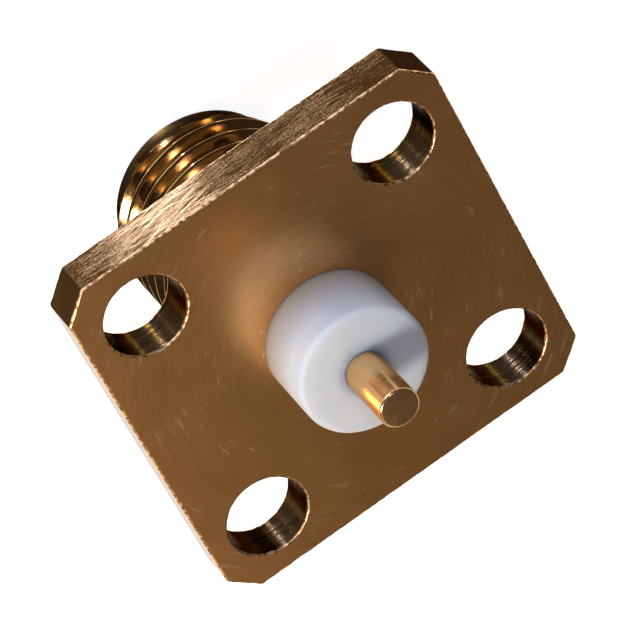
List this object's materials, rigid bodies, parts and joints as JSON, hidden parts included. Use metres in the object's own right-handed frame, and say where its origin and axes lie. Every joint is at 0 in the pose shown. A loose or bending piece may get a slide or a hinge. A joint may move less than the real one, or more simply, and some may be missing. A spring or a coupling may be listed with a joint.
{
  "type": "flange-mount coaxial jack",
  "caption": "Small coaxial jack: square flange with corner screw holes, threaded barrel, round insulator standing out behind and a solder post in its middle.",
  "frame": {"origin": "centre of the flange's rear face, on the axis", "axes": "+Z along the axis towards the solder post, so the threaded barrel points along -Z; X and Y square to the flange's sides"},
  "size_m": [0.0126, 0.0126, 0.014],
  "materials": {
    "plated_brass": "gold plate, satin on the turned rear face, milled grain on the flange's sides",
    "ptfe": "milky white PTFE, smooth turned",
    "plated_contact": "bright gold plate"
  },
  "bodies": {
    "root": {"body": "plated_brass", "insulator": "ptfe", "contact": "plated_contact"}
  },
  "joints": []
}
